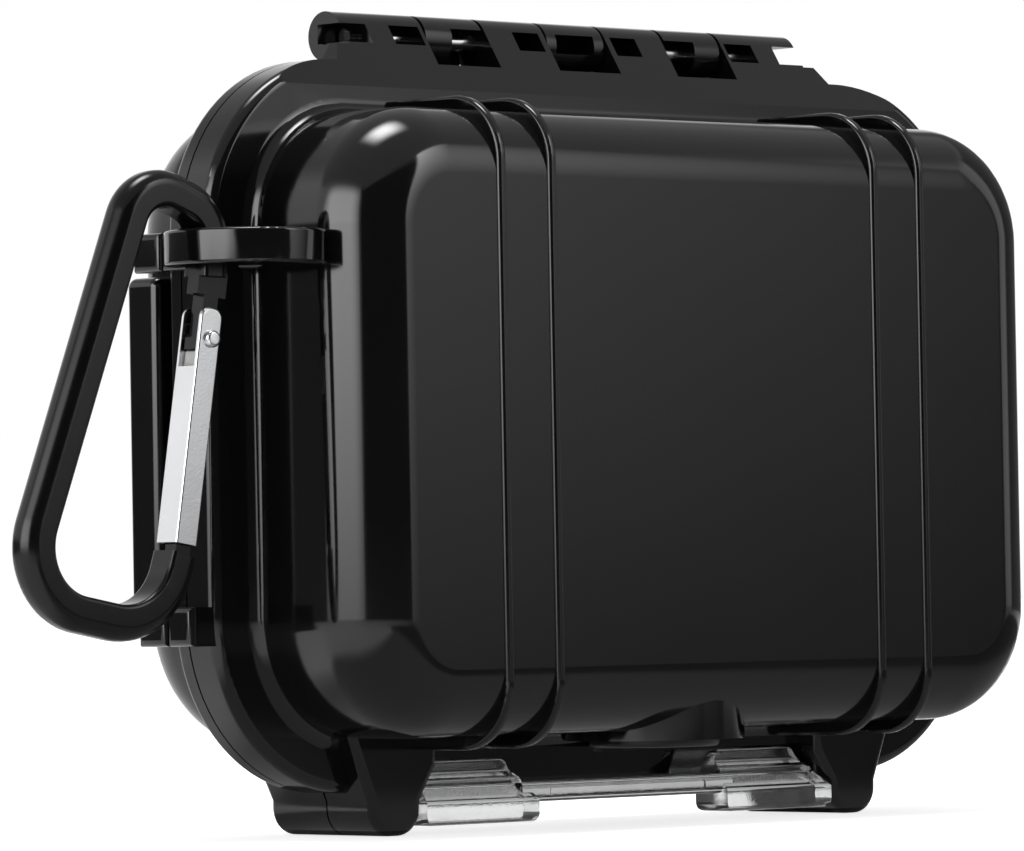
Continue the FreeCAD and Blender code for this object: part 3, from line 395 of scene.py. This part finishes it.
def make_liner():
    low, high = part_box("base_liner")
    half_x, half_z, centre_z = halves(low, high)
    lip = LINER_WALL / 2
    inner = LINER_EDGE - LINER_WALL
    steps = []
    for angle in arc(0, 90):
        steps.append((LINER_EDGE * (1 - math.sin(angle)), low.y + LINER_EDGE * (1 - math.cos(angle))))
    for angle in arc(0, 180):
        steps.append((lip * (1 - math.cos(angle)), high.y - lip + lip * math.sin(angle)))
    for angle in arc(90, 0):
        steps.append((LINER_WALL + inner * (1 - math.sin(angle)),
                      low.y + LINER_WALL + inner * (1 - math.cos(angle))))
    rings = [outline(half_x - inset, half_z - inset, LINER_CORNER - inset, y, centre_z) for inset, y in steps]
    piece = loft("tub_liner", rings, liner_rubber)
    bpy.ops.mesh.primitive_cylinder_add(vertices=VENT_HOLE_SIDES, radius=VENT_HOLE_RADIUS,
                                        depth=VENT_HOLE_DEPTH, location=VENT_HOLE_PLACE)
    cutter = bpy.context.object
    hole = piece.modifiers.new("vent hole", "BOOLEAN")
    hole.object = cutter
    hole.operation = "DIFFERENCE"
    hole.solver = "EXACT"
    apply_modifiers(piece)
    bpy.data.objects.remove(cutter)
    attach(piece, "base")
    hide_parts("base_liner")


# Seal with a round crown
SEAL_WIDTH, SEAL_CORNER = 2.2 * MM, 19.8 * MM
SEAL_SIDES = 20
SEAL_FULLNESS = 0.7


def make_seal():
    low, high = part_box("seal_ring")
    half_x, half_z, centre_z = halves(low, high)
    middle_y, half_y = (low.y + high.y) / 2, (high.y - low.y) / 2
    rings = []
    for index in range(SEAL_SIDES):
        angle = 2 * math.pi * index / SEAL_SIDES
        across, deep = (math.copysign(abs(share) ** SEAL_FULLNESS, share)
                        for share in (math.cos(angle), math.sin(angle)))
        inset = SEAL_WIDTH / 2 * (1 - across)
        rings.append(outline(half_x - inset, half_z - inset, SEAL_CORNER - inset,
                             middle_y + half_y * deep, centre_z))
    piece = loft("mouth_seal", rings, seal_rubber, loop=True)
    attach(piece, "base")
    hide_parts("seal_ring")


# Foam pad with rows of soft cones that sink towards its rim
FOAM_PITCH, FOAM_CORNER, FOAM_RIM = 9.5 * MM, 12.4 * MM, 3 * MM
FOAM_ACROSS, FOAM_TALL = 124, 76
FOAM_BED, FOAM_RISE = 0.35, 0.63


def in_rounded_corner(x, z, half_x, half_z):
    """A point of the square grid, drawn in where the pad's corners are round."""
    straight_x, straight_z = half_x - FOAM_CORNER, half_z - FOAM_CORNER
    if abs(x) <= straight_x or abs(z) <= straight_z:
        return x, z
    dx, dz = abs(x) - straight_x, abs(z) - straight_z
    scale = max(dx, dz) / math.hypot(dx, dz)
    return math.copysign(straight_x + dx * scale, x), math.copysign(straight_z + dz * scale, z)


def make_foam():
    low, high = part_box("lid_foam")
    half_x, half_z, centre_z = halves(low, high)
    deep = high.y - low.y
    mesh = bmesh.new()
    rows = []
    for j in range(FOAM_TALL + 1):
        row = []
        for i in range(FOAM_ACROSS + 1):
            u, v = 2 * i / FOAM_ACROSS - 1, 2 * j / FOAM_TALL - 1
            x, z = in_rounded_corner(u * half_x, v * half_z, half_x, half_z)
            rim = min(half_x - abs(x), half_z - abs(z)) / FOAM_RIM
            crown = min(1, max(0, rim)) ** 0.5
            wave = math.cos(2 * math.pi * x / FOAM_PITCH) * math.cos(2 * math.pi * z / FOAM_PITCH)
            cone = 0.5 + 0.5 * wave
            height = deep * (FOAM_BED + FOAM_RISE * cone * crown)
            row.append(mesh.verts.new((x, high.y - height, centre_z + z)))
        rows.append(row)
    for first, second in zip(rows, rows[1:]):
        for i in range(FOAM_ACROSS):
            mesh.faces.new((first[i], first[i + 1], second[i + 1], second[i]))
    border = rows[0] + [row[-1] for row in rows[1:]] + rows[-1][-2::-1] + [row[0] for row in rows[-2:0:-1]]
    foot = [mesh.verts.new((v.co.x, high.y, v.co.z)) for v in border]
    band(mesh, border, foot)
    mesh.faces.new(foot)
    piece = smooth_piece("foam_pad", mesh, foam_cells)
    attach(piece, "lid")
    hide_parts("lid_foam")


make_liner()
make_seal()
make_foam()


# Studio: floor, one soft lamp, cards that only reflections see and a white surround
FLOOR_REACH = 6
FLOOR_GREY, FLOOR_ROUGHNESS = 0.9, 0.8
FLOOR_GLOW = 0.72
SURROUND_SEEN, SURROUND_FILL = 1.0, 0.45
WHITE = (1, 1, 1, 1)


def edge_fade(tree, value, soft):
    """One at the middle of a card and zero at its two edges."""
    nearest = calc(tree, "MINIMUM", value, calc(tree, "SUBTRACT", 1.0, value))
    fade = add(tree, "ShaderNodeMapRange", interpolation_type="SMOOTHSTEP", From_Max=soft)
    link(tree, nearest, fade.inputs["Value"])
    return fade.outputs[0]


def ramp_between(tree, value, low, high):
    ramp = add(tree, "ShaderNodeMapRange", To_Min=low, To_Max=high)
    link(tree, value, ramp.inputs["Value"])
    return ramp.outputs[0]


def mix_shaders(tree, factor, first, second):
    pick = add(tree, "ShaderNodeMixShader")
    link(tree, factor, pick.inputs["Fac"])
    link(tree, first.outputs[0], pick.inputs[1])
    link(tree, second.outputs[0], pick.inputs[2])
    return pick.outputs[0]


def panel(name, centre, across, up, low, high, start=1.0, end=1.0, soft=0.2):
    """A soft-edged card that only reflections see; it glows from low to high, times start to end across."""
    data = bpy.data.meshes.new(name)
    corners = [centre - across - up, centre + across - up, centre + across + up, centre - across + up]
    data.from_pydata(corners, [], [(0, 1, 2, 3)])
    uv = data.uv_layers.new(name="card")
    for loop, place in zip(uv.data, ((0, 0), (1, 0), (1, 1), (0, 1))):
        loop.uv = place
    material = bpy.data.materials.new(name)
    material.use_nodes = True
    tree = material.node_tree
    tree.nodes.clear()
    place = add(tree, "ShaderNodeUVMap", uv_map="card")
    split = add(tree, "ShaderNodeSeparateXYZ")
    link(tree, place.outputs[0], split.inputs[0])
    u, v = split.outputs["X"], split.outputs["Y"]
    strength = calc(tree, "MULTIPLY", ramp_between(tree, v, low, high), ramp_between(tree, u, start, end))
    cover = calc(tree, "MULTIPLY", edge_fade(tree, u, soft), edge_fade(tree, v, soft))
    glow = add(tree, "ShaderNodeEmission")
    clear = add(tree, "ShaderNodeBsdfTransparent")
    out = add(tree, "ShaderNodeOutputMaterial")
    link(tree, strength, glow.inputs["Strength"])
    link(tree, mix_shaders(tree, cover, clear, glow), out.inputs["Surface"])
    data.materials.append(material)
    card = bpy.data.objects.new(name, data)
    scene.collection.objects.link(card)
    card.visible_camera = False
    card.visible_diffuse = False
    card.visible_shadow = False
    card.visible_transmission = False


def stage_card(name, azimuth, distance, width, height, middle_z, low, high, **fades):
    """A panel that stands upright and faces the case from one side."""
    a = math.radians(azimuth)
    centre = Vector((math.cos(a) * distance, math.sin(a) * distance, middle_z))
    across = Vector((-math.sin(a), math.cos(a), 0)) * width / 2
    panel(name, centre, across, Vector((0, 0, height / 2)), low, high, **fades)


def soft_box(name, place, aim, width, height, watts):
    """A lamp that reflections don't see."""
    data = bpy.data.lights.new(name, "AREA")
    data.shape = "RECTANGLE"
    data.size, data.size_y = width, height
    data.energy = watts
    lamp = bpy.data.objects.new(name, data)
    scene.collection.objects.link(lamp)
    lamp.location = place
    lamp.rotation_euler = (aim - place).to_track_quat("-Z", "Y").to_euler()
    lamp.visible_glossy = False


def seen_rays(tree):
    """The light path, and one for rays from the camera, also through the clear latch."""
    path = add(tree, "ShaderNodeLightPath")
    seen = calc(tree, "MAXIMUM", path.outputs["Is Camera Ray"], path.outputs["Is Transmission Ray"])
    return path, seen


def make_floor():
    """A pale floor that glows to white where it is seen."""
    data = bpy.data.meshes.new("floor")
    data.from_pydata([(sx * FLOOR_REACH, sy * FLOOR_REACH, 0) for sx, sy in ((-1, -1), (1, -1), (1, 1), (-1, 1))],
                     [], [(0, 1, 2, 3)])
    material, tree, shader = new_material("pale floor")
    shader.inputs["Base Color"].default_value = (FLOOR_GREY, FLOOR_GREY, FLOOR_GREY, 1)
    shader.inputs["Roughness"].default_value = FLOOR_ROUGHNESS
    seen = seen_rays(tree)[1]
    glow = add(tree, "ShaderNodeEmission", Strength=FLOOR_GLOW)
    none = add(tree, "ShaderNodeEmission", Strength=0.0)
    both = add(tree, "ShaderNodeAddShader")
    link(tree, shader.outputs[0], both.inputs[0])
    link(tree, mix_shaders(tree, seen, none, glow), both.inputs[1])
    link(tree, both.outputs[0], tree.nodes["Material Output"].inputs["Surface"])
    data.materials.append(material)
    floor = bpy.data.objects.new("floor", data)
    scene.collection.objects.link(floor)


def make_surround():
    """White to the eye and in reflections, dimmer as a light."""
    world = bpy.data.worlds.new("surround")
    scene.world = world
    world.use_nodes = True
    tree = world.node_tree
    tree.nodes.clear()
    path, seen = seen_rays(tree)
    seen_or_reflected = calc(tree, "MAXIMUM", seen, path.outputs["Is Glossy Ray"])
    white = add(tree, "ShaderNodeBackground", Color=WHITE, Strength=SURROUND_SEEN)
    fill = add(tree, "ShaderNodeBackground", Color=WHITE, Strength=SURROUND_FILL)
    out = add(tree, "ShaderNodeOutputWorld")
    link(tree, mix_shaders(tree, seen_or_reflected, fill, white), out.inputs["Surface"])


set_camera()
make_floor()
make_surround()

panel("overhead", centre=Vector((0, 0, 1.0)), across=Vector((1.5, 0, 0)), up=Vector((0, 1.5, 0)),
      low=0.38, high=0.42, soft=0.15)
panel("flag_floor", centre=Vector((0.36, -0.38, 0.001)), across=Vector((0.3, 0.28, 0)), up=Vector((-0.3, 0.32, 0)),
      low=0.06, high=0.1, soft=0.1)
# Painted shade: a grey card just over the floor beside the case, seen only in reflections, darkens the floor there
# as if it lay in the case's shadow
panel("painted_shade_near_floor", centre=Vector((0.11, -0.135, 0.0008)), across=Vector((0.235, 0, 0)),
      up=Vector((0, 0.155, 0)), low=0.32, high=0.3, soft=0.06)
stage_card("flag_left_back", azimuth=122, distance=0.9, width=0.95, height=0.6, middle_z=-0.12,
           low=0.05, high=0.1, soft=0.07)
stage_card("flag_camera_side", azimuth=254, distance=1.3, width=2.34, height=1.8, middle_z=0.5,
           low=0.03, high=0.05, soft=0.04)
stage_card("box_left", azimuth=183, distance=0.8, width=1.12, height=0.7, middle_z=0.31,
           low=5.6, high=5.0, soft=0.3)
stage_card("box_right_front", azimuth=-52, distance=1.0, width=0.66, height=1.0, middle_z=0.44,
           low=0.0, high=3.6, start=2.1, end=0.0, soft=0.08)
stage_card("flag_right", azimuth=8, distance=1.1, width=1.3, height=1.2, middle_z=0.4,
           low=0.1, high=0.2, soft=0.12)
TOP_LIGHT = Vector((-0.03, 0.02, 0.8))
panel("box_top_glow", centre=TOP_LIGHT, across=Vector((0.24, 0, 0)), up=Vector((0, 0.22, 0)),
      low=16, high=16, soft=0.45)
soft_box("box_top", TOP_LIGHT, aim=Vector((0, 0, 0.06)), width=0.36, height=0.32, watts=5.0)

scene.view_settings.view_transform = "Standard"
